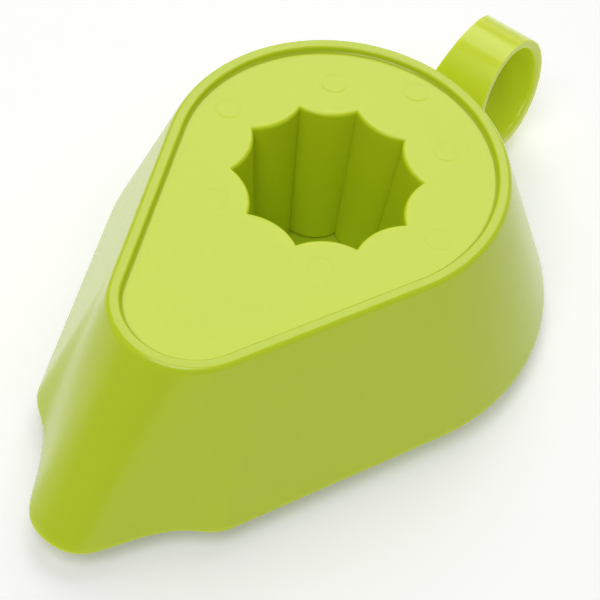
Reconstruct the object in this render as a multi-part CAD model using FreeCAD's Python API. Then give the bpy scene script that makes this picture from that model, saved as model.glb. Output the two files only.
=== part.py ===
import FreeCAD, Part
import os
from math import asin, cos, pi, radians, sin
from FreeCAD import Vector

# Wasp trap: a teardrop hood with a star-shaped bottle socket, standing over a bait tray.
#
# Millimetres, +Z up.  The floor is z = 0, +X points along the spout, and the trap is symmetric about
# the XZ plane.  Everything is laid out from the socket's axis and moved when it is saved, so that
# the origin is the middle of the trap's box, on the floor.

# ---------------------------------------------------------------- hood
HOOD_LIFT = 5.5            # gap under the hood, high enough for a wasp to walk in
HOOD_HEIGHT = 33.0         # hood, from its lower edge to the top of its rim
WALL = 1.93                # hood wall, measured level
BASE_BACK = (-4.0, 45.5)   # round back of the lower outline: centre X, radius
BASE_FRONT = (52.75, 22.6)  # round front of the lower outline, before the spout is pinched in
TOP_BACK = (-3.4, 32.7)    # the same two circles at the top of the rim
TOP_FRONT = (39.45, 15.2)
# the lower outline near the spout: angle from the nose, and its share of the front radius added
# to the plain teardrop (negative where the sides are pinched in)
SPOUT_PROFILE = ((88.0, 0.0), (81.0, -0.005), (74.0, -0.055), (67.0, -0.125), (56.0, -0.18),
                 (42.0, -0.165), (27.0, -0.055), (14.0, 0.1), (0.0, 0.15))

RIM_WIDTH = 2.3
RIM_STEP = 1.2             # the rim stands this far above the socket plate
RIM_ROUND = 0.8
LEDGE_WIDTH = 1.7          # ledge inside the rim, which carries the socket plate
LEDGE_THICK = 1.5

RIB_THICK = 1.6
BACK_RIB_ANGLES = (95.0, 145.0, -145.0, -95.0)
BACK_RIB_DEPTH = 5.5       # how far each rib reaches in past the tray's outline
FRONT_RIB_ANGLES = (48.0, -48.0)
FRONT_RIB_DEPTH = 3.0
RIB_REACH = 30.0           # more than enough to run every rib into the hood wall

# ---------------------------------------------------------------- socket plate
PLATE_THICK = 2.0
PLATE_SIDE_GAP = 0.06      # the plate drops into the rim, so its joint line is a hair
SOCKET_POINTS = 10
SOCKET_CUSP = 18.0         # star socket at the plate: radius of its points
SOCKET_CROWN = 15.6        # and of the flutes that grip the bottle
SOCKET_NARROWING = 2.9     # both are smaller by this at the lower end
SOCKET_WALL = 1.6
SOCKET_LIP = 0.45          # bevel round the socket's mouth
SOCKET_FOOT_GAP = 0.3      # the socket ends this far above the tray's floor
SINK_PLACES = ((-29.3, 0.0), (-20.2, 13.5), (-20.2, -13.5), (-1.1, 24.7), (-1.1, -24.7),
               (18.5, 12.2), (18.5, -12.2))
SINK_RADIUS = 2.45         # faint round sink marks in the plate
SINK_DEPTH = 0.1
GATE_WIDTH = 13.0          # arched gate through the socket's front, facing the spout
GATE_HEIGHT = 12.0
GATE_FROM = 9.6            # the cutter for it runs between these two X
GATE_TO = 21.6

# ---------------------------------------------------------------- carrying ring
RING_X = -59.45            # behind the hood, its hole running along Y
RING_RADIUS = 12.5
RING_HOLE = 10.3
RING_TOP_WIDTH = 10.6
RING_FOOT_WIDTH = 18.8
RING_ROUND = 1.0
ROOT_WIDTH = 9.0           # block between the band and the hood wall
ROOT_HEIGHT = 5.0
TONGUE_WIDTH = 8.0         # tongue pushed through a slot in the hood wall
TONGUE_HEIGHT = 3.0
TONGUE_END = -38.75
TONGUE_GAP = 0.08
BARB_FROM = -41.35         # ridge on the tongue that catches behind the wall
BARB_HEIGHT = 0.6

# ---------------------------------------------------------------- tray
PAD_STANDOUT = 1.0         # the pads hold the tray this far off the floor
TRAY_FLOOR = 2.0
TRAY_BACK = (-4.0, 39.5)
TRAY_FRONT = (42.55, 14.0)
TRAY_WALL = 1.8
TRAY_TOP = 13.0            # the hood's ribs rest on the tray wall at this height
RAMP_WIDTH = 15.0          # opening in the tray's front wall, and the ramp up to it
RAMP_ROOT = 50.55          # X where the ramp leaves the tray's floor
RAMP_CREST = 54.55         # X where its slope begins
RAMP_TIP = 64.55
RAMP_TIP_UNDER = 0.4
RAMP_TIP_THICK = 0.8
LOCATOR_IN = 20.4          # low ridge inside the trough, which keeps it in the middle
LOCATOR_HEIGHT = 2.0
PAD_RADIUS = 5.0
PAD_THICK = 1.6
PAD_ROUND = 0.3
PAD_PLACES = ((-33.45, 0.0), (-4.0, 30.0), (-4.0, -30.0), (40.55, 0.0))

# ---------------------------------------------------------------- bait trough, sponge and lid
TROUGH_IN = 22.0
TROUGH_OUT = 34.5
TROUGH_WALL = 1.2
TROUGH_HEIGHT = 7.6
TROUGH_GAP = 36.0          # half the angle left open in front, between the trough's ends
TROUGH_END = 3.0           # angle taken up by each end wall
SPONGE_HEIGHT = 5.5
SLIDE_GAP = 0.3
END_GAP = 1.0              # the same gap as an angle, at the ends
LID_THICK = 1.2
LID_PLUG = 0.7             # depth of the lid's underside inside the trough
LID_SLOT = 1.7
LID_SLOT_LENGTH = 7.5
LID_SLOT_STEP = 9.0
LID_END = 6.0              # angle kept free of slots at each end

OVERRUN = 1.0              # cutters run past the faces they cut by this
BITE = 0.5                 # and joined forms run into each other by this

# ---------------------------------------------------------------- worked out from them
RIM_TOP = HOOD_LIFT + HOOD_HEIGHT
PLATE_TOP = RIM_TOP - RIM_STEP
PLATE_UNDER = PLATE_TOP - PLATE_THICK
LEDGE_UNDER = PLATE_UNDER - LEDGE_THICK
TRAY_UNDER = PAD_STANDOUT
TRAY_LEVEL = TRAY_UNDER + TRAY_FLOOR
SOCKET_END = TRAY_LEVEL + SOCKET_FOOT_GAP
RING_Z = HOOD_LIFT + RING_RADIUS
ROOT_FROM = RING_X + RING_HOLE + BITE
SPOUT_TIP = BASE_FRONT[0] + BASE_FRONT[1] * (1.0 + SPOUT_PROFILE[-1][1])
MIDDLE_X = (SPOUT_TIP + RING_X - RING_RADIUS) / 2.0


# ---------------------------------------------------------------- helpers
def save(shape, name):
    shape = shape.copy()
    shape.translate(Vector(-MIDDLE_X, 0, 0))
    shape.exportStep("parts/" + name + ".step")
    box = shape.optimalBoundingBox()
    print("%-13s solids %d  volume %8.1f  valid %s  x %.2f %.2f  y %.2f %.2f  z %.2f %.2f" % (
        name, len(shape.Solids), shape.Volume, shape.isValid(),
        box.XMin, box.XMax, box.YMin, box.YMax, box.ZMin, box.ZMax))


def polar(radius, degrees, z=0.0, centre_x=0.0):
    angle = radians(degrees)
    return Vector(centre_x + radius * cos(angle), radius * sin(angle), z)


def mix(low, high, share):
    return low + (high - low) * share


def prism(wire, height):
    return Part.Face(wire).extrude(Vector(0, 0, height))


def upright_cylinder(radius, height, x, y, z):
    return Part.makeCylinder(radius, height, Vector(x, y, z))


def cross_cylinder(radius, length, x, z):
    """Cylinder lying along Y, centred on the XZ plane."""
    return Part.makeCylinder(radius, length, Vector(x, -length / 2.0, z), Vector(0, 1, 0))


def middle_box(x_from, x_to, width, z_from, z_to):
    """Box centred on the XZ plane."""
    return Part.makeBox(x_to - x_from, width, z_to - z_from, Vector(x_from, -width / 2.0, z_from))


def side_prism(profile, width):
    """Profile of (X, Z) points, as thick as width, centred on the XZ plane."""
    points = [Vector(x, -width / 2.0, z) for x, z in profile]
    face = Part.Face(Part.makePolygon(points + points[:1]))
    return face.extrude(Vector(0, width, 0))


def level_edges(shape, height):
    """Edges of a shape that lie wholly at one height."""
    found = []
    for edge in shape.Edges:
        box = edge.BoundBox
        if abs(box.ZMin - height) < 0.01 and abs(box.ZMax - height) < 0.01:
            found.append(edge)
    return found


def teardrop(back, front, z, inset=0.0):
    """Closed outline round two circles on the X axis, given as (centre X, radius)."""
    r_back = back[1] - inset
    r_front = front[1] - inset
    tilt = asin((r_back - r_front) / (front[0] - back[0]))
    lean = Vector(sin(tilt), cos(tilt), 0)
    fall = Vector(sin(tilt), -cos(tilt), 0)
    at_back = Vector(back[0], 0, z)
    at_front = Vector(front[0], 0, z)
    rear_middle = Vector(back[0] - r_back, 0, z)
    nose_middle = Vector(front[0] + r_front, 0, z)
    rear = Part.Arc(at_back + lean * r_back, rear_middle, at_back + fall * r_back)
    side_a = Part.LineSegment(at_back + fall * r_back, at_front + fall * r_front)
    nose = Part.Arc(at_front + fall * r_front, nose_middle, at_front + lean * r_front)
    side_b = Part.LineSegment(at_front + lean * r_front, at_back + lean * r_back)
    return Part.Wire([rear.toShape(), side_a.toShape(), nose.toShape(), side_b.toShape()])


def hood_outline(share, inset, z):
    """The hood's outline at a share of its height: a teardrop pinched on both sides of its spout."""
    back_x = mix(BASE_BACK[0], TOP_BACK[0], share)
    r_back = mix(BASE_BACK[1], TOP_BACK[1], share) - inset
    front_x = mix(BASE_FRONT[0], TOP_FRONT[0], share)
    r_front = mix(BASE_FRONT[1], TOP_FRONT[1], share)
    tilt = asin((r_back - r_front + inset) / (front_x - back_x))
    along = Vector(cos(tilt), -sin(tilt), 0)
    first_angle = SPOUT_PROFILE[0][0]
    half = []
    stations = []
    for degrees, bulge in SPOUT_PROFILE:
        past_side = max(0.0, radians(degrees) - (pi / 2.0 - tilt))
        plain = (r_front - inset) / cos(past_side)
        half.append(polar(plain + r_front * bulge * (1.0 - share), degrees, z, front_x))
        stations.append((first_angle - degrees) / (2.0 * first_angle))
    mirrored = [Vector(p.x, -p.y, p.z) for p in reversed(half[:-1])]
    stations += [1.0 - station for station in reversed(stations[:-1])]
    spout = Part.BSplineCurve()
    spout.interpolate(Points=half + mirrored, Parameters=stations, InitialTangent=along,
                      FinalTangent=Vector(-along.x, along.y, 0), Scale=True)
    start = half[0]
    start_mirror = Vector(start.x, -start.y, z)
    touch = Vector(back_x + sin(tilt) * r_back, cos(tilt) * r_back, z)
    touch_mirror = Vector(touch.x, -touch.y, z)
    rear = Part.Arc(touch_mirror, Vector(back_x - r_back, 0, z), touch)
    side_a = Part.LineSegment(touch, start)
    side_b = Part.LineSegment(start_mirror, touch_mirror)
    return Part.Wire([rear.toShape(), side_a.toShape(), spout.toShape(), side_b.toShape()])


def hood_solid(inset, low, high):
    """The hood's outer form, or its hollow, between two heights above its lower edge."""
    lower = hood_outline(low / HOOD_HEIGHT, inset, HOOD_LIFT + low)
    upper = hood_outline(high / HOOD_HEIGHT, inset, HOOD_LIFT + high)
    return Part.makeLoft([lower, upper], True, True)


def star_wire(spread, z):
    """Ten flutes bulging outward between sharp points, smaller towards the socket's lower end."""
    narrowing = SOCKET_NARROWING * (PLATE_TOP - z) / (PLATE_TOP - SOCKET_END)
    cusp = SOCKET_CUSP - narrowing + spread
    crown = SOCKET_CROWN - narrowing + spread
    step = 360.0 / SOCKET_POINTS
    edges = []
    for index in range(SOCKET_POINTS):
        middle = index * step
        first = polar(cusp, middle - step / 2.0, z)
        last = polar(cusp, middle + step / 2.0, z)
        edges.append(Part.Arc(first, polar(crown, middle, z), last).toShape())
    return Part.Wire(edges)


def star_solid(low, high, spread_low, spread_high):
    return Part.makeLoft([star_wire(spread_low, low), star_wire(spread_high, high)], True, True)


def horseshoe(r_in, r_out, end_angle, low, high):
    """Ring round the socket, open in front by end_angle each side of +X."""
    outer = Part.Arc(polar(r_out, end_angle, low), polar(r_out, 180, low), polar(r_out, -end_angle, low))
    inner = Part.Arc(polar(r_in, -end_angle, low), polar(r_in, 180, low), polar(r_in, end_angle, low))
    end_a = Part.LineSegment(polar(r_out, -end_angle, low), polar(r_in, -end_angle, low))
    end_b = Part.LineSegment(polar(r_in, end_angle, low), polar(r_out, end_angle, low))
    wire = Part.Wire([outer.toShape(), end_a.toShape(), inner.toShape(), end_b.toShape()])
    return prism(wire, high - low)


# ---------------------------------------------------------------- hood shell
def rib(circle, degrees, depth):
    """One upright plate that stands on the tray's wall and runs out into the hood's wall."""
    start = circle[1] - depth
    plate = middle_box(start, start + RIB_REACH, RIB_THICK, TRAY_TOP, LEDGE_UNDER + BITE)
    plate.rotate(Vector(0, 0, 0), Vector(0, 0, 1), degrees)
    plate.translate(Vector(circle[0], 0, 0))
    return plate.common(hood_solid(WALL / 2.0, 0.0, LEDGE_UNDER + BITE - HOOD_LIFT))


def ring_tongue(gap):
    """The ring's tongue; with a gap round it, the slot that takes it."""
    return middle_box(RING_X + RING_HOLE + OVERRUN, TONGUE_END, TONGUE_WIDTH + 2.0 * gap,
                      RING_Z - TONGUE_HEIGHT / 2.0 - gap, RING_Z + TONGUE_HEIGHT / 2.0 + gap)


def make_hood_shell():
    shell = hood_solid(0.0, 0.0, HOOD_HEIGHT)
    shell = shell.makeFillet(RIM_ROUND, level_edges(shell, RIM_TOP))
    shell = shell.cut(hood_solid(WALL, 0.0, LEDGE_UNDER - HOOD_LIFT))
    for degrees in BACK_RIB_ANGLES:
        shell = shell.fuse(rib(TRAY_BACK, degrees, BACK_RIB_DEPTH))
    for degrees in FRONT_RIB_ANGLES:
        shell = shell.fuse(rib(TRAY_FRONT, degrees, FRONT_RIB_DEPTH))
    ledge_hole = prism(teardrop(TOP_BACK, TOP_FRONT, LEDGE_UNDER - OVERRUN, RIM_WIDTH + LEDGE_WIDTH),
                       LEDGE_THICK + 2.0 * OVERRUN)
    pocket = prism(teardrop(TOP_BACK, TOP_FRONT, PLATE_UNDER, RIM_WIDTH),
                   PLATE_THICK + RIM_STEP + OVERRUN)
    shell = shell.cut(ledge_hole).cut(pocket)
    inner_rim = [edge for edge in level_edges(shell, RIM_TOP) if pocket.distToShape(edge)[0] < 0.01]
    shell = shell.makeFillet(RIM_ROUND, inner_rim)
    return shell.cut(ring_tongue(TONGUE_GAP)).removeSplitter()


# ---------------------------------------------------------------- socket plate
def socket_gate():
    spring = SOCKET_END - OVERRUN + GATE_HEIGHT - GATE_WIDTH / 2.0
    legs = middle_box(GATE_FROM, GATE_TO, GATE_WIDTH, SOCKET_END - OVERRUN, spring)
    arch = Part.makeCylinder(GATE_WIDTH / 2.0, GATE_TO - GATE_FROM, Vector(GATE_FROM, 0, spring),
                             Vector(1, 0, 0))
    return legs.fuse(arch)


def make_socket_plate():
    outline = teardrop(TOP_BACK, TOP_FRONT, PLATE_UNDER, RIM_WIDTH + PLATE_SIDE_GAP)
    plate = prism(outline, PLATE_THICK)
    plate = plate.fuse(star_solid(SOCKET_END, PLATE_UNDER + BITE, SOCKET_WALL, SOCKET_WALL))
    plate = plate.cut(star_solid(SOCKET_END - OVERRUN, PLATE_TOP + OVERRUN, 0.0, 0.0))
    plate = plate.cut(star_solid(PLATE_TOP - SOCKET_LIP, PLATE_TOP, 0.0, SOCKET_LIP))
    plate = plate.cut(socket_gate())
    for x, y in SINK_PLACES:
        plate = plate.cut(upright_cylinder(SINK_RADIUS, OVERRUN, x, y, PLATE_TOP - SINK_DEPTH))
    return plate.removeSplitter()


# ---------------------------------------------------------------- carrying ring
def make_band():
    """Round band, narrower at its top, with its edges rounded."""
    band = cross_cylinder(RING_RADIUS, RING_FOOT_WIDTH, RING_X, RING_Z)
    foot = RING_Z - RING_RADIUS
    top = RING_Z + RING_RADIUS
    corners = [
        Vector(RING_X - RING_RADIUS, -RING_FOOT_WIDTH / 2.0, foot),
        Vector(RING_X - RING_RADIUS, RING_FOOT_WIDTH / 2.0, foot),
        Vector(RING_X - RING_RADIUS, RING_TOP_WIDTH / 2.0, top),
        Vector(RING_X - RING_RADIUS, -RING_TOP_WIDTH / 2.0, top),
    ]
    taper = Part.Face(Part.makePolygon(corners + corners[:1])).extrude(Vector(2.0 * RING_RADIUS, 0, 0))
    band = band.common(taper).cut(ring_hole())
    edges = [edge for edge in band.Edges if edge.BoundBox.XLength > RING_RADIUS]
    return band.makeFillet(RING_ROUND, edges)


def ring_hole():
    return cross_cylinder(RING_HOLE, RING_FOOT_WIDTH + 2.0 * OVERRUN, RING_X, RING_Z)


def make_finger_ring():
    root = middle_box(ROOT_FROM, TONGUE_END, ROOT_WIDTH,
                      RING_Z - ROOT_HEIGHT / 2.0, RING_Z + ROOT_HEIGHT / 2.0)
    root = root.cut(hood_solid(0.0, 0.0, HOOD_HEIGHT))
    tongue_top = RING_Z + TONGUE_HEIGHT / 2.0
    barb = side_prism([(BARB_FROM, tongue_top), (BARB_FROM, tongue_top + BARB_HEIGHT),
                       (TONGUE_END, tongue_top)], TONGUE_WIDTH)
    ring = make_band().fuse(root).fuse(ring_tongue(0.0)).fuse(barb)
    return ring.cut(ring_hole()).removeSplitter()


# ---------------------------------------------------------------- tray and pads
def make_base_tray():
    tray = prism(teardrop(TRAY_BACK, TRAY_FRONT, TRAY_UNDER), TRAY_TOP - TRAY_UNDER)
    tray = tray.cut(prism(teardrop(TRAY_BACK, TRAY_FRONT, TRAY_LEVEL, TRAY_WALL), TRAY_TOP))
    tray = tray.cut(middle_box(TRAY_FRONT[0], RAMP_TIP, RAMP_WIDTH, TRAY_LEVEL, TRAY_TOP + OVERRUN))
    tray = tray.fuse(side_prism([
        (RAMP_ROOT, TRAY_UNDER), (RAMP_TIP, RAMP_TIP_UNDER), (RAMP_TIP, RAMP_TIP_UNDER + RAMP_TIP_THICK),
        (RAMP_CREST, TRAY_LEVEL), (RAMP_ROOT, TRAY_LEVEL)], RAMP_WIDTH))
    tray = tray.fuse(horseshoe(LOCATOR_IN, TROUGH_IN - SLIDE_GAP, TROUGH_GAP + TROUGH_END,
                               TRAY_LEVEL - BITE, TRAY_LEVEL + LOCATOR_HEIGHT))
    for x, y in PAD_PLACES:
        tray = tray.cut(upright_cylinder(PAD_RADIUS, PAD_THICK - PAD_STANDOUT, x, y, TRAY_UNDER))
    return tray.removeSplitter()


def make_foot_pads():
    pads = []
    for x, y in PAD_PLACES:
        pad = upright_cylinder(PAD_RADIUS, PAD_THICK, x, y, 0.0)
        pads.append(pad.makeFillet(PAD_ROUND, level_edges(pad, 0.0)))
    return Part.makeCompound(pads)


# ---------------------------------------------------------------- bait trough, sponge and lid
def trough_inside(gap, low, high):
    """What fits between the trough's walls, with a gap all round."""
    end = TROUGH_GAP + TROUGH_END
    if gap > 0.0:
        end += END_GAP
    return horseshoe(TROUGH_IN + TROUGH_WALL + gap, TROUGH_OUT - TROUGH_WALL - gap, end, low, high)


def make_bait_trough():
    top = TRAY_LEVEL + TROUGH_HEIGHT
    trough = horseshoe(TROUGH_IN, TROUGH_OUT, TROUGH_GAP, TRAY_LEVEL, top)
    return trough.cut(trough_inside(0.0, TRAY_LEVEL + TROUGH_WALL, top + OVERRUN))


def make_bait_sponge():
    low = TRAY_LEVEL + TROUGH_WALL
    return trough_inside(SLIDE_GAP, low, low + SPONGE_HEIGHT)


def make_trough_lid():
    low = TRAY_LEVEL + TROUGH_HEIGHT
    high = low + LID_THICK
    lid = horseshoe(TROUGH_IN, TROUGH_OUT, TROUGH_GAP, low, high)
    lid = lid.fuse(trough_inside(SLIDE_GAP, low - LID_PLUG, low + BITE))
    start = (TROUGH_IN + TROUGH_OUT - LID_SLOT_LENGTH) / 2.0
    count = int((180.0 - TROUGH_GAP - LID_END) / LID_SLOT_STEP)
    for index in range(-count, count + 1):
        slot = middle_box(start, start + LID_SLOT_LENGTH, LID_SLOT, low - OVERRUN, high + OVERRUN)
        slot.rotate(Vector(0, 0, 0), Vector(0, 0, 1), 180.0 + index * LID_SLOT_STEP)
        lid = lid.cut(slot)
    return lid.removeSplitter()


os.makedirs("parts", exist_ok=True)
save(make_hood_shell(), "hood_shell")
save(make_socket_plate(), "socket_plate")
save(make_finger_ring(), "finger_ring")
save(make_base_tray(), "base_tray")
save(make_foot_pads(), "foot_pads")
save(make_bait_trough(), "bait_trough")
save(make_bait_sponge(), "bait_sponge")
save(make_trough_lid(), "trough_lid")
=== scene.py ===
"""Looks for the wasp trap: the lime plastic hood with its rim, spout, star socket and ring, and the
bait tray under it. Metres, in the CAD frame: +X towards the spout, +Z up, the floor at z = 0."""
from math import asin, cos, pi, radians, sin

import bmesh
import bpy
import numpy as np
from mathutils import Matrix, Vector, noise
from mathutils.geometry import delaunay_2d_cdt


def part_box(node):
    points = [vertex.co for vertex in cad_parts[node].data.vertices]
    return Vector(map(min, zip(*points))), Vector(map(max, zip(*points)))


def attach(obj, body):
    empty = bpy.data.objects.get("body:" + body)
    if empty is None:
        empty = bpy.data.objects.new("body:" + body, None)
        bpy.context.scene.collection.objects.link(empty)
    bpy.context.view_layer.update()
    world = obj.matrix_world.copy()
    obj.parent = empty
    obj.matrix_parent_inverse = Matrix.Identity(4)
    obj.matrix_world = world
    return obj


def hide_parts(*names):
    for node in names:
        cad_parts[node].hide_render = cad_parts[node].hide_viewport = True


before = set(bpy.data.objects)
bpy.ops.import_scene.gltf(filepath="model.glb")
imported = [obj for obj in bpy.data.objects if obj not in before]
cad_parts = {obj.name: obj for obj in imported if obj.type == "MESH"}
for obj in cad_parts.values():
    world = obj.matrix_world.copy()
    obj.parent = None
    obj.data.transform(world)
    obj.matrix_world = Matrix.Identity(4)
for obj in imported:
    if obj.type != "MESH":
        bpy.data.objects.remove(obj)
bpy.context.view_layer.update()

MM = 0.001

# ---------------------------------------------------------------- places read from the frame, in mm
HOOD_LOW, HOOD_HIGH = [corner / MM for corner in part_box("hood_shell")]
PLATE_LOW, PLATE_HIGH = [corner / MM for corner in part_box("socket_plate")]
TRAY_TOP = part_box("base_tray")[1].z / MM
HOOD_FOOT = HOOD_LOW.z
HOOD_HEIGHT = HOOD_HIGH.z - HOOD_LOW.z
PLATE_TOP = PLATE_HIGH.z
SOCKET_END = PLATE_LOW.z

# ---------------------------------------------------------------- the hood's driving sizes, in mm
BACK_RADIUS = HOOD_HIGH.y              # round back of the lower outline
BACK_X = -4.0                          # middle of the hood's round back, from the socket's axis
AXIS_X = HOOD_LOW.x + BACK_RADIUS - BACK_X  # the socket's axis
BASE_BACK = (BACK_X, BACK_RADIUS)      # centre measured from the socket's axis, and radius
BASE_FRONT = (52.75, 22.6)
TOP_BACK = (-3.4, 32.7)
TOP_FRONT = (39.45, 15.2)
SPOUT_PROFILE = ((88.0, 0.0), (81.0, -0.005), (74.0, -0.055), (67.0, -0.125), (56.0, -0.18),
                 (42.0, -0.165), (27.0, -0.055), (14.0, 0.1), (0.0, 0.15))
WALL = 1.93
RIM_WIDTH = 2.3
RIM_DROP = 0.9                         # the rim's outer rounding: how far down it starts,
RIM_ROUND_OUT = 0.6                    # and how far in it reaches
RIM_ROUND_IN = 0.5                     # the rim's inner edge
RIM_FOOT = 0.68                        # the rim's inner side runs out onto the plate with this radius
RIM_FOOT_SUNK = 0.03                   # the foot ends this far under the plate's face, so no edge stands free
HOOD_EDGE = 0.35                       # rounding of the hood's lower edge
LEDGE_BEVEL = 0.3                      # where the inside of the wall meets the ledge
PLATE_THICK = 2.0
LEDGE_WIDTH = 1.7
LEDGE_THICK = 1.5
SOCKET_POINTS = 10
SOCKET_CUSP = 18.0
SOCKET_CROWN = 15.6
SOCKET_NARROWING = 2.9
SOCKET_WALL = 1.6
SOCKET_LIP = 0.65
SOCKET_EDGE = 0.3                      # rounding of the socket's lower end
SOCKET_FILLET = 0.6                    # where the socket runs into the underside of the plate
PLATE_EDGE = 0.15
SINK_PLACES = ((-29.3, 0.0), (-20.2, 13.5), (-20.2, -13.5), (-1.1, 24.7), (-1.1, -24.7),
               (18.5, 12.2), (18.5, -12.2))
SINK_RADIUS = 2.45
SINK_DEPTH = 0.07
GATE_WIDTH = 13.0
GATE_HEIGHT = 11.0
RIBS = ((-4.0, 34.0, 95.0), (-4.0, 34.0, 145.0), (-4.0, 34.0, -145.0), (-4.0, 34.0, -95.0),
        (42.55, 11.0, 48.0), (42.55, 11.0, -48.0))     # circle X, start radius, angle
RIB_THICK = 1.6
RIB_LEVELS = 25
RIB_BITE = 0.03                        # each rib runs this far into the wall
SPONGE_WIDTH = 9.5
SPONGE_END = 41.2                      # degrees from the front to each end of the horseshoe
SPONGE_SOFT = 0.9                      # rounding of its worn edges


# ================================================================ camera, light and floor
def add_camera():
    """Looks down on the spout's right side, the view rolled a little to the right."""
    aim = Vector((11.98, 7.02, 20.0)) * MM
    azimuth, elevation, roll, distance = radians(30.68), radians(52.52), radians(8.25), 312.3 * MM
    away = Vector((cos(azimuth) * cos(elevation), sin(azimuth) * cos(elevation), sin(elevation)))
    data = bpy.data.cameras.new("camera")
    data.lens = 98.8
    data.sensor_width = 36.0
    data.clip_start = 0.01
    camera = bpy.data.objects.new("camera", data)
    bpy.context.scene.collection.objects.link(camera)
    turn = away.to_track_quat("Z", "Y").to_matrix() @ Matrix.Rotation(roll, 3, "Z")
    camera.matrix_world = Matrix.Translation(aim + away * distance) @ turn.to_4x4()
    bpy.context.scene.camera = camera


def add_light(name, place, aim, size, power, colour=(1.0, 1.0, 1.0)):
    data = bpy.data.lights.new(name, "AREA")
    data.shape = "RECTANGLE"
    data.size, data.size_y = size
    data.energy = power
    data.color = colour
    light = bpy.data.objects.new(name, data)
    light.location = place
    light.rotation_euler = (Vector(aim) - Vector(place)).to_track_quat("-Z", "Y").to_euler()
    bpy.context.scene.collection.objects.link(light)
    return light


def add_surroundings():
    world = bpy.data.worlds.new("studio")
    world.use_nodes = True
    world.node_tree.nodes["Background"].inputs["Color"].default_value = (1.0, 1.0, 1.0, 1.0)
    world.node_tree.nodes["Background"].inputs["Strength"].default_value = 0.3
    bpy.context.scene.world = world
    bpy.context.scene.view_settings.view_transform = "Standard"
    add_light("back_softbox", (-0.45, -0.27, 0.75), (0.0, 0.0, 0.0), (0.62, 0.62), 2.8)
    add_light("front_softbox", (0.34, 0.05, 0.80), (0.0, 0.0, 0.0), (0.5, 0.5), 2.6)
    low_card = add_light("low_back_card", (-0.75, -0.45, 0.24), (0.0, 0.0, 0.03), (1.0, 0.3), 0.5)
    low_card.visible_camera = False
    floor_mesh = bpy.data.meshes.new("floor")
    half = 3.0
    corners = [(-half, -half, 0), (half, -half, 0), (half, half, 0), (-half, half, 0)]
    floor_mesh.from_pydata(corners, [], [(0, 1, 2, 3)])
    floor = bpy.data.objects.new("floor", floor_mesh)
    bpy.context.scene.collection.objects.link(floor)
    paint = bpy.data.materials.new("floor")
    paint.use_nodes = True
    shader = paint.node_tree.nodes["Principled BSDF"]
    shader.inputs["Base Color"].default_value = (0.93, 0.93, 0.93, 1.0)
    shader.inputs["Roughness"].default_value = 0.9
    shader.inputs["Emission Color"].default_value = (1.0, 1.0, 1.0, 1.0)
    shader.inputs["Emission Strength"].default_value = 0.19
    floor_mesh.materials.append(paint)


# ================================================================ outlines
def mix(low, high, share):
    return low + (high - low) * share


def clamped_spline(points, stations, start_slope, end_slope, samples):
    """Cubic spline through points at the given stations, with fixed end slopes, read at samples."""
    points = np.asarray(points, float)
    stations = np.asarray(stations, float)
    gaps = np.diff(stations)
    count = len(points)
    matrix = np.zeros((count, count))
    right = np.zeros((count, 2))
    matrix[0, 0] = matrix[-1, -1] = 1.0
    right[0], right[-1] = start_slope, end_slope
    for i in range(1, count - 1):
        before, after = gaps[i - 1], gaps[i]
        matrix[i, i - 1:i + 2] = 1.0 / before, 2.0 / before + 2.0 / after, 1.0 / after
        right[i] = 3.0 * ((points[i] - points[i - 1]) / before ** 2
                          + (points[i + 1] - points[i]) / after ** 2)
    slopes = np.linalg.solve(matrix, right)
    span = np.clip(np.searchsorted(stations, samples, "right") - 1, 0, count - 2)
    gap = gaps[span][:, None]
    u = ((samples - stations[span]) / gaps[span])[:, None]
    return ((2 * u ** 3 - 3 * u ** 2 + 1) * points[span] + (u ** 3 - 2 * u ** 2 + u) * gap * slopes[span]
            + (3 * u ** 2 - 2 * u ** 3) * points[span + 1] + (u ** 3 - u ** 2) * gap * slopes[span + 1])


REAR_STEPS = 220
SIDE_STEPS = 40
SPOUT_STEPS = 260


def hood_outline(share, inset):
    """Points round the hood, from the middle of its back, at a share of its height."""
    back_x = mix(BASE_BACK[0], TOP_BACK[0], share)
    r_back = mix(BASE_BACK[1], TOP_BACK[1], share) - inset
    front_x = mix(BASE_FRONT[0], TOP_FRONT[0], share)
    r_front = mix(BASE_FRONT[1], TOP_FRONT[1], share)
    tilt = asin((r_back - r_front + inset) / (front_x - back_x))
    first = SPOUT_PROFILE[0][0]
    half, stations = [], []
    for degrees, bulge in SPOUT_PROFILE:
        past_side = max(0.0, radians(degrees) - (pi / 2.0 - tilt))
        radius = (r_front - inset) / cos(past_side) + r_front * bulge * (1.0 - share)
        half.append((front_x + radius * cos(radians(degrees)), radius * sin(radians(degrees))))
        stations.append((first - degrees) / (2.0 * first))
    points = half + [(x, -y) for x, y in reversed(half[:-1])]
    stations += [1.0 - station for station in reversed(stations[:-1])]
    along = np.array((cos(tilt), -sin(tilt)))
    speed = np.hypot(half[1][0] - half[0][0], half[1][1] - half[0][1]) / (stations[1] - stations[0])
    spout = clamped_spline(points, stations, along * speed, np.array((-along[0], along[1])) * speed,
                           np.linspace(0.0, 1.0, SPOUT_STEPS + 1))
    turn = np.linspace(pi, pi / 2.0 - tilt, REAR_STEPS // 2 + 1)
    rear = np.stack([back_x + r_back * np.cos(turn), r_back * np.sin(turn)], 1)
    side = rear[-1] + (spout[0] - rear[-1]) * np.linspace(0.0, 1.0, SIDE_STEPS + 1)[:, None]
    one_side = np.concatenate([rear, side[1:], spout[1:SPOUT_STEPS // 2 + 1]])
    other = one_side[-2:0:-1] * np.array((1.0, -1.0))
    ring = np.concatenate([one_side, other])
    ring[:, 0] += AXIS_X
    return ring


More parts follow.
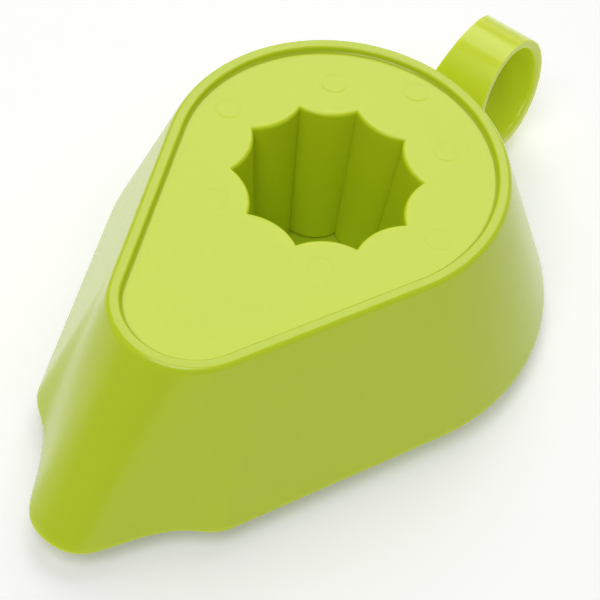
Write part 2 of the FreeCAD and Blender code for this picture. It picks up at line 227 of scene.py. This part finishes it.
def add_mesh(name, vertices, faces, material, body, sharp=35.0):
    """One smooth-shaded mesh from points in metres, its seams closed and its sharp edges kept."""
    mesh = bpy.data.meshes.new(name)
    mesh.from_pydata([tuple(v) for v in vertices], [], faces)
    mesh.validate()
    piece = bpy.data.objects.new(name, mesh)
    bpy.context.scene.collection.objects.link(piece)
    form = bmesh.new()
    form.from_mesh(mesh)
    bmesh.ops.remove_doubles(form, verts=form.verts, dist=1e-7)
    bmesh.ops.recalc_face_normals(form, faces=form.faces)
    for face in form.faces:
        face.smooth = True
    form.to_mesh(mesh)
    form.free()
    mesh.set_sharp_from_angle(angle=radians(sharp))
    mesh.materials.append(material)
    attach(piece, body)
    return piece


class Skin:
    """Vertices in millimetres and faces, gathered from several surfaces of one piece."""

    def __init__(self):
        self.points = []
        self.faces = []

    def loft(self, rings, around=True, closed=False):
        """Skin through rings, each given as (outline, height); closed joins the last to the first."""
        start = len(self.points)
        count = len(rings[0][0])
        for outline, z in rings:
            self.points += [(x, y, z) for x, y in outline]
        layers = len(rings)
        for layer in range(layers if closed else layers - 1):
            low = start + layer * count
            high = start + ((layer + 1) % layers) * count
            for i in range(count if around else count - 1):
                j = (i + 1) % count
                self.faces.append((low + i, low + j, high + j, high + i))

    def flat(self, loops, hole):
        """Flat face between loops of (outline, height), outermost first; hole tells what to leave out."""
        places, edges, heights = [], [], []
        for outline, z in loops:
            start = len(places)
            count = len(outline)
            places += [Vector((float(x), float(y))) for x, y in outline]
            heights += [z] * count
            edges += [(start + i, start + (i + 1) % count) for i in range(count)]
        found, _, faces, origin, _, _ = delaunay_2d_cdt(places, edges, [], 0, 1e-6)
        start = len(self.points)
        for place, source in zip(found, origin):
            self.points.append((place.x, place.y, heights[source[0]] if source else heights[0]))
        for face in faces:
            middle = sum((found[i] for i in face), Vector((0.0, 0.0))) / len(face)
            if not hole(middle):
                self.faces.append(tuple(start + i for i in face))

    def build(self, name, material, body, sharp=35.0):
        return add_mesh(name, np.array(self.points) * MM, self.faces, material, body, sharp)


def round_loop(radius, x, y, count=40):
    turn = np.linspace(0.0, 2.0 * pi, count, endpoint=False)
    return np.column_stack([x + radius * np.cos(turn), y + radius * np.sin(turn)])


def star_loop(spread, z, per_flute=26):
    """Ten flutes bulging inward between sharp points, smaller towards the socket's lower end."""
    narrowing = SOCKET_NARROWING * (PLATE_TOP - z) / (PLATE_TOP - SOCKET_END)
    cusp = SOCKET_CUSP - narrowing + spread
    crown = SOCKET_CROWN - narrowing + spread
    half = pi / SOCKET_POINTS
    tip = np.array((cusp * cos(half), cusp * sin(half)))
    centre = (tip @ tip - crown ** 2) / (2.0 * (tip[0] - crown))
    reach = np.arctan2(tip[1], centre - tip[0])
    turn = np.linspace(-reach, reach, per_flute, endpoint=False)
    flute = np.column_stack([centre - (centre - crown) * np.cos(turn), (centre - crown) * np.sin(turn)])
    loops = []
    for index in range(SOCKET_POINTS):
        a = 2.0 * half * index
        loops.append(np.column_stack([flute[:, 0] * cos(a) - flute[:, 1] * sin(a),
                                      flute[:, 0] * sin(a) + flute[:, 1] * cos(a)]))
    ring = np.concatenate(loops)
    ring[:, 0] += AXIS_X
    return ring


def inside(loop):
    """Test for places inside a closed loop."""
    ends = np.roll(loop, -1, 0)

    def test(place):
        crossing = (loop[:, 1] > place.y) != (ends[:, 1] > place.y)
        rise = np.where(crossing, ends[:, 1] - loop[:, 1], 1.0)
        at = loop[:, 0] + (place.y - loop[:, 1]) * (ends[:, 0] - loop[:, 0]) / rise
        return np.count_nonzero(crossing & (at > place.x)) % 2 == 1
    return test


# ================================================================ materials
def node_material(name):
    material = bpy.data.materials.new(name)
    material.use_nodes = True
    tree = material.node_tree
    return material, tree, tree.nodes["Principled BSDF"]


def add_node(tree, kind, **values):
    node = tree.nodes.new(kind)
    for key, value in values.items():
        if key in node.inputs.keys():
            node.inputs[key].default_value = value
        else:
            setattr(node, key, value)
    return node


def moulded_plastic(name, colour, roughness=0.2, spread=0.012, glow=0.6, wobble=0.5):
    """Injection-moulded plastic: slightly milky and smooth, with faint colour drift and flow waves."""
    material, tree, shader = node_material(name)
    link = tree.links.new
    place = add_node(tree, "ShaderNodeTexCoord")
    drift = add_node(tree, "ShaderNodeTexNoise", Scale=22.0, Detail=2.0, Roughness=0.5)
    link(place.outputs["Object"], drift.inputs["Vector"])
    tint = add_node(tree, "ShaderNodeMix", data_type="RGBA")
    dark = tuple(c * (1.0 - spread) for c in colour)
    light = tuple(min(1.0, c * (1.0 + spread)) for c in colour)
    tint.inputs[6].default_value = (*dark, 1.0)
    tint.inputs[7].default_value = (*light, 1.0)
    link(drift.outputs["Fac"], tint.inputs["Factor"])
    link(tint.outputs[2], shader.inputs["Base Color"])
    scuff = add_node(tree, "ShaderNodeTexNoise", Scale=260.0, Detail=3.0, Roughness=0.5)
    link(place.outputs["Object"], scuff.inputs["Vector"])
    gloss = add_node(tree, "ShaderNodeMapRange")
    gloss.inputs["From Min"].default_value = 0.3
    gloss.inputs["From Max"].default_value = 0.7
    gloss.inputs["To Min"].default_value = roughness - 0.015
    gloss.inputs["To Max"].default_value = roughness + 0.02
    link(scuff.outputs["Fac"], gloss.inputs["Value"])
    link(gloss.outputs["Result"], shader.inputs["Roughness"])
    waves = add_node(tree, "ShaderNodeTexNoise", Scale=40.0, Detail=1.0, Roughness=0.3)
    link(place.outputs["Object"], waves.inputs["Vector"])
    flow = add_node(tree, "ShaderNodeBump", Strength=wobble, Distance=0.0001)
    link(waves.outputs["Fac"], flow.inputs["Height"])
    grain = add_node(tree, "ShaderNodeTexNoise", Scale=1500.0, Detail=1.0, Roughness=0.4)
    link(place.outputs["Object"], grain.inputs["Vector"])
    fine = add_node(tree, "ShaderNodeBump", Strength=wobble * 0.5, Distance=0.000002)
    link(grain.outputs["Fac"], fine.inputs["Height"])
    link(flow.outputs["Normal"], fine.inputs["Normal"])
    link(fine.outputs["Normal"], shader.inputs["Normal"])
    shader.inputs["IOR"].default_value = 1.5
    shader.inputs["Subsurface Weight"].default_value = glow
    shader.inputs["Subsurface Radius"].default_value = (1.0, 1.0, 0.3)
    shader.inputs["Subsurface Scale"].default_value = 0.0015
    return material


def sponge_foam(name, colour):
    """Open-cell sponge: dull and blotched, its pores bumped into the surface."""
    material, tree, shader = node_material(name)
    link = tree.links.new
    place = add_node(tree, "ShaderNodeTexCoord")
    cells = add_node(tree, "ShaderNodeTexVoronoi", Scale=900.0)
    blotch = add_node(tree, "ShaderNodeTexNoise", Scale=120.0, Detail=4.0, Roughness=0.6)
    for texture in (cells, blotch):
        link(place.outputs["Object"], texture.inputs["Vector"])
    tint = add_node(tree, "ShaderNodeMix", data_type="RGBA")
    tint.inputs[6].default_value = (*(c * 0.72 for c in colour), 1.0)
    tint.inputs[7].default_value = (*colour, 1.0)
    link(blotch.outputs["Fac"], tint.inputs["Factor"])
    link(tint.outputs[2], shader.inputs["Base Color"])
    pores = add_node(tree, "ShaderNodeBump", Strength=0.7, Distance=0.0004)
    link(cells.outputs["Distance"], pores.inputs["Height"])
    link(pores.outputs["Normal"], shader.inputs["Normal"])
    shader.inputs["Roughness"].default_value = 0.95
    shader.inputs["Subsurface Weight"].default_value = 0.2
    shader.inputs["Subsurface Scale"].default_value = 0.001
    return material


LIME = (0.57, 0.70, 0.015)
lime_hood = moulded_plastic("lime_hood", LIME)
# paler copy of the hood's lime for the roof plate: painted light, the plate's top made brighter than the
# walls as if lit from above
PAINTED_LIT_LIME = (0.635, 0.76, 0.015)
lime_plate = moulded_plastic("lime_plate", PAINTED_LIT_LIME)
# paler, bluer copy of the lime for the finger ring: painted light and painted sheen on its top
lime_ring = moulded_plastic("lime_ring", (0.69, 0.80, 0.035))
lime_tray = moulded_plastic("lime_tray", (0.47, 0.61, 0.013), roughness=0.3)
milky = moulded_plastic("milky", (0.80, 0.81, 0.75), roughness=0.36, glow=0.5)
lime_lid = moulded_plastic("lime_lid", (0.56, 0.71, 0.016), roughness=0.32)
pad_grey = moulded_plastic("pad_grey", (0.06, 0.065, 0.06), roughness=0.7, spread=0.15, glow=0.0)
foam = sponge_foam("foam", (0.72, 0.47, 0.10))


def set_material(node, material):
    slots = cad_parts[node].data.materials
    slots.clear()
    slots.append(material)


# ================================================================ hood
def make_hood():
    """The hood's wall in section: up the outside, over the rounded rim, down to the ledge and the hollow."""
    rings = []

    def put(share, inset, height):
        rings.append((hood_outline(share, inset), HOOD_FOOT + height))

    for angle in np.linspace(-90, 0, 5):
        a = radians(angle)
        height = HOOD_EDGE * (1 + sin(a))
        put(height / HOOD_HEIGHT, HOOD_EDGE * (1 - cos(a)), height)
    for height in np.linspace(1.0, HOOD_HEIGHT - RIM_DROP - 0.6, 14):
        put(height / HOOD_HEIGHT, 0.0, height)
    for angle in np.linspace(0, 90, 10):
        a = radians(angle)
        height = HOOD_HEIGHT - RIM_DROP * (1 - sin(a))
        put(height / HOOD_HEIGHT, RIM_ROUND_OUT * (1 - cos(a)), height)
    for inset in (RIM_ROUND_OUT + 0.12, RIM_WIDTH - RIM_ROUND_IN - 0.12):
        put(1.0, inset, HOOD_HEIGHT)
    for angle in np.linspace(90, 0, 8):
        a = radians(angle)
        put(1.0, RIM_WIDTH - RIM_ROUND_IN * (1 - cos(a)), HOOD_HEIGHT - RIM_ROUND_IN * (1 - sin(a)))
    plate_top = PLATE_TOP - HOOD_FOOT
    pocket = plate_top - PLATE_THICK
    for angle in np.linspace(0, 90, 7):
        a = radians(angle)
        put(1.0, RIM_WIDTH + RIM_FOOT * (1 - cos(a)), plate_top - RIM_FOOT_SUNK + RIM_FOOT * (1 - sin(a)))
    put(1.0, RIM_WIDTH + RIM_FOOT, plate_top - 0.35)
    for height in (plate_top - 0.4, pocket + 0.3, pocket + 0.02):
        put(1.0, RIM_WIDTH, height)
    for inset in (0.1, LEDGE_WIDTH - 0.1, LEDGE_WIDTH):
        put(1.0, RIM_WIDTH + inset, pocket)
    for height in (pocket - 0.1, pocket - LEDGE_THICK + 0.1, pocket - LEDGE_THICK):
        put(1.0, RIM_WIDTH + LEDGE_WIDTH, height)
    under = pocket - LEDGE_THICK
    share = under / HOOD_HEIGHT
    put(share, WALL + LEDGE_BEVEL, under)
    put(share, WALL, under - LEDGE_BEVEL)
    for height in np.linspace(under - 1.0, 1.0, 10):
        put(height / HOOD_HEIGHT, WALL, height)
    for angle in np.linspace(0, 90, 4):
        a = radians(angle)
        height = HOOD_EDGE * (1 - sin(a))
        put(height / HOOD_HEIGHT, WALL - HOOD_EDGE * (1 - cos(a)), height)
    skin = Skin()
    skin.loft(rings, closed=True)
    add_ribs(skin, HOOD_FOOT + under)
    hood = skin.build("hood_wall", lime_hood, "hood")
    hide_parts("hood_shell")


def add_ribs(skin, top):
    """Upright plates inside the wall, standing on the tray; each ends where the wall leans in past it."""
    foot = TRAY_TOP
    for circle_x, start, degrees in RIBS:
        a = radians(degrees)
        across = np.array((-sin(a), cos(a))) * RIB_THICK / 2.0
        out = np.array((cos(a), sin(a)))
        centre = np.array((AXIS_X + circle_x, 0.0))
        rings = []
        for z in np.linspace(foot, top + 0.02, RIB_LEVELS):
            inset = WALL - RIB_BITE + (0.0 if z < top - LEDGE_BEVEL else LEDGE_BEVEL)
            wall = hood_outline((z - HOOD_FOOT) / HOOD_HEIGHT, inset)
            near = np.abs((wall - centre) @ across) + np.where((wall - centre) @ out > 0, 0.0, 1e3)
            reach = (wall[np.argmin(near)] - centre) @ out
            if reach < start:
                break
            inner = centre + out * start
            outer = centre + out * reach
            rings.append((np.array((inner + across, inner - across, outer - across, outer + across)), z))
        skin.loft(rings)
        first = len(skin.points) - 4 * len(rings)
        skin.faces.append(tuple(first + i for i in (3, 2, 1, 0)))
        skin.faces.append(tuple(len(skin.points) - 4 + i for i in range(4)))


# ================================================================ socket plate
def make_socket_plate():
    """Roof plate with faint sink marks, and the tapering star socket under it."""
    gap = RIM_WIDTH + 0.02
    under = PLATE_TOP - PLATE_THICK
    edge = PLATE_EDGE
    mouth = star_loop(SOCKET_LIP, PLATE_TOP)
    loops = [(hood_outline(1.0, gap + edge), PLATE_TOP), (hood_outline(1.0, gap + edge + 0.3), PLATE_TOP),
             (star_loop(SOCKET_LIP + 0.3, PLATE_TOP), PLATE_TOP), (mouth, PLATE_TOP)]
    for x, y in SINK_PLACES:
        for grow, depth in ((0.55, 0.0), (0.22, 0.0), (0.0, 0.5), (-0.22, 1.0), (-0.55, 1.0)):
            drop = SINK_DEPTH * depth
            loops.append((round_loop(SINK_RADIUS + grow, AXIS_X + x, y), PLATE_TOP - drop))
    skin = Skin()
    skin.flat(loops, inside(mouth))
    rings = []
    for angle in np.linspace(90, 0, 7):
        a = radians(angle)
        z = PLATE_TOP - SOCKET_LIP * (1.0 - sin(a))
        rings.append((star_loop(SOCKET_LIP * (1.0 - cos(a)), z), z))
    for z in np.linspace(PLATE_TOP - SOCKET_LIP - 0.5, SOCKET_END + 0.5, 20):
        rings.append((star_loop(0.0, z), z))
    for angle in np.linspace(0, 180, 9):
        a = radians(angle)
        z = SOCKET_END + SOCKET_EDGE * (1.0 - sin(a))
        side = np.sign(90.0 - angle)
        across = SOCKET_WALL / 2.0 - SOCKET_EDGE + SOCKET_EDGE * abs(cos(a))
        rings.append((star_loop(SOCKET_WALL / 2.0 - side * across, z), z))
    for z in np.linspace(SOCKET_END + 0.5, under - 0.8, 16):
        rings.append((star_loop(SOCKET_WALL, z), z))
    for angle in np.linspace(0, 90, 5):
        a = radians(angle)
        z = under - SOCKET_FILLET * (1.0 - sin(a))
        rings.append((star_loop(SOCKET_WALL + SOCKET_FILLET * (1.0 - cos(a)), z), z))
    skin.loft(rings)
    foot = rings[-1][0]
    skin.flat([(hood_outline(1.0, gap + edge), under), (hood_outline(1.0, gap + edge + 0.3), under),
               (star_loop(SOCKET_WALL + 0.9, under), under), (foot, under)], inside(foot))
    side = []
    for angle in np.linspace(-90, 90, 9):
        a = radians(angle)
        z = PLATE_TOP - edge * (1 - sin(a)) if angle > 0 else under + edge * (1 + sin(a))
        side.append((hood_outline(1.0, gap + edge * (1 - cos(a))), z))
    skin.loft(side)
    plate = skin.build("roof_plate", lime_plate, "hood", 40.0)
    cut_gate(plate)
    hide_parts("socket_plate")


def cut_gate(plate):
    """Arched gate through the front of the socket, cut into the mesh and left with rounded shading."""
    rise = GATE_WIDTH / 2.0
    spring = SOCKET_END + GATE_HEIGHT - rise
    outline = [(-rise, SOCKET_END - 1.0)]
    for angle in np.linspace(180, 0, 33):
        outline.append((rise * cos(radians(angle)), spring + rise * sin(radians(angle))))
    outline.append((rise, SOCKET_END - 1.0))
    points = [(AXIS_X + x, y, z) for x in (9.6, 21.6) for y, z in outline]
    count = len(outline)
    faces = [(i, (i + 1) % count, count + (i + 1) % count, count + i) for i in range(count)]
    faces += [tuple(range(count)), tuple(range(2 * count - 1, count - 1, -1))]
    mesh = bpy.data.meshes.new("gate_cutter")
    mesh.from_pydata([tuple(c * MM for c in p) for p in points], [], faces)
    form = bmesh.new()
    form.from_mesh(mesh)
    bmesh.ops.recalc_face_normals(form, faces=form.faces)
    form.to_mesh(mesh)
    form.free()
    cutter = bpy.data.objects.new("gate_cutter", mesh)
    bpy.context.scene.collection.objects.link(cutter)
    cut = plate.modifiers.new("gate", "BOOLEAN")
    cut.object = cutter
    cut.operation = "DIFFERENCE"
    cut.solver = "EXACT"
    bpy.context.view_layer.update()
    done = bpy.data.meshes.new_from_object(plate.evaluated_get(bpy.context.evaluated_depsgraph_get()))
    plate.modifiers.remove(cut)
    plate.data = done
    bpy.data.objects.remove(cutter)
    done.set_sharp_from_angle(angle=radians(40.0))


# ================================================================ sponge
def make_sponge():
    """Horseshoe of open-cell sponge, its faces uneven and its edges worn round."""
    low, high = [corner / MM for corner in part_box("bait_sponge")]
    outer = high.y
    inner = outer - SPONGE_WIDTH
    end = radians(SPONGE_END)
    along = 420
    section = []
    soft = SPONGE_SOFT
    corners = ((inner + soft, low.z + soft, 180), (inner + soft, high.z - soft, 90),
               (outer - soft, high.z - soft, 0), (outer - soft, low.z + soft, -90))
    for index, (r, z, start) in enumerate(corners):
        for turn in np.linspace(90, 0, 5):
            a = radians(start + turn)
            section.append((r + soft * cos(a), z + soft * sin(a)))
        following = corners[(index + 1) % 4]
        a, b = radians(start), radians(following[2] + 90)
        first = np.array((r + soft * cos(a), z + soft * sin(a)))
        last = np.array((following[0] + soft * cos(b), following[1] + soft * sin(b)))
        steps = int(np.hypot(*(last - first)) / 0.55)
        section += [tuple(first + (last - first) * k / steps) for k in range(1, steps)]
    section = np.array(section)
    middle = section.mean(0)
    angles = np.linspace(end, 2.0 * pi - end, along + 1)
    stations = [(angles[0], s) for s in (0.55, 0.85, 0.96)] + [(a, 1.0) for a in angles[1:-1]]
    stations += [(angles[-1], s) for s in (0.96, 0.85, 0.55)]
    points, faces = [], []
    for turn, shrink in stations:
        for r, z in middle + (section - middle) * shrink:
            place = Vector((AXIS_X + r * cos(turn), r * sin(turn), z))
            pit = noise.voronoi(place * 0.9)[0][0]
            crust = noise.noise(place * 0.35) * 0.12
            depth = max(0.0, 0.42 - pit) * 1.1 + 0.14 + crust
            inward = Vector(((middle[0] - r) * cos(turn), (middle[0] - r) * sin(turn), middle[1] - z))
            points.append(place + inward.normalized() * depth)
    count = len(section)
    for k in range(len(stations) - 1):
        for i in range(count):
            j = (i + 1) % count
            faces.append((k * count + i, k * count + j, (k + 1) * count + j, (k + 1) * count + i))
    faces += [tuple(range(count)), tuple(range(len(points) - 1, len(points) - count - 1, -1))]
    sponge = add_mesh("sponge", [p * MM for p in points], faces, foam, "bait", 80.0)
    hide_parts("bait_sponge")


# ================================================================ build
add_camera()
add_surroundings()
make_hood()
make_socket_plate()
make_sponge()
set_material("finger_ring", lime_ring)
set_material("base_tray", lime_tray)
set_material("foot_pads", pad_grey)
set_material("bait_trough", milky)
set_material("trough_lid", lime_lid)
